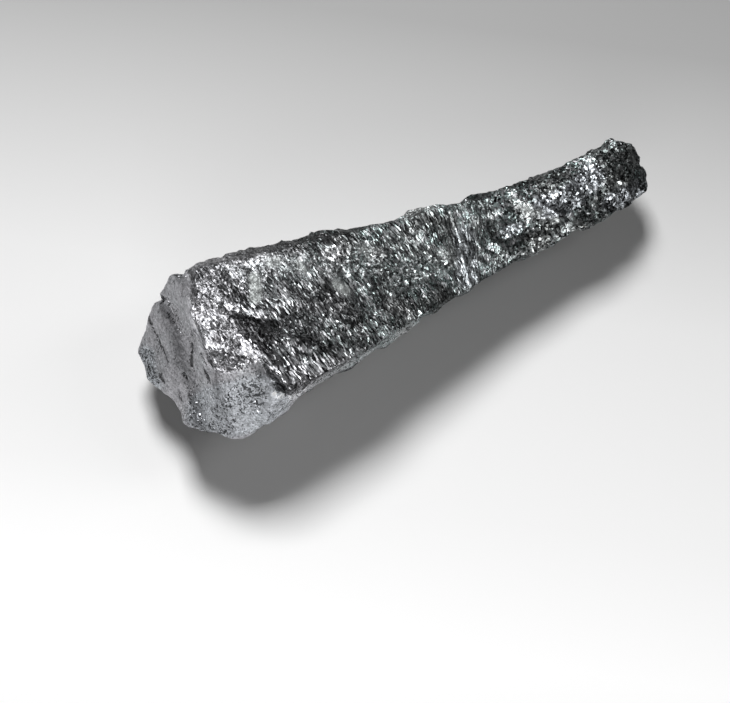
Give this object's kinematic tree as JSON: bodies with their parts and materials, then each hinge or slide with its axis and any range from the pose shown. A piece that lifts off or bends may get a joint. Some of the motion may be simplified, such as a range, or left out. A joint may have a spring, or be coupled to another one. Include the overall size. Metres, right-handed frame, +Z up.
{
  "type": "lump of silicon metal",
  "caption": "Club-shaped broken lump of silicon metal with sparkling crystalline faces, a smoother broad end and a knobbly tip, lying on a flat patch of its cast skin.",
  "frame": {"origin": "on the surface that the lump rests on, below the middle of its bounding box", "axes": "+X along the lump from its broad end to its knobbly tip, +Y across it towards the back, +Z up from the flat patch that it lies on"},
  "size_m": [0.1216, 0.0412, 0.0341],
  "materials": {
    "silicon": "silver to blue-grey broken crystals, mirror-bright flats among dark ones, no coating"
  },
  "bodies": {
    "root": {"silicon_lump": "silicon"}
  },
  "joints": []
}
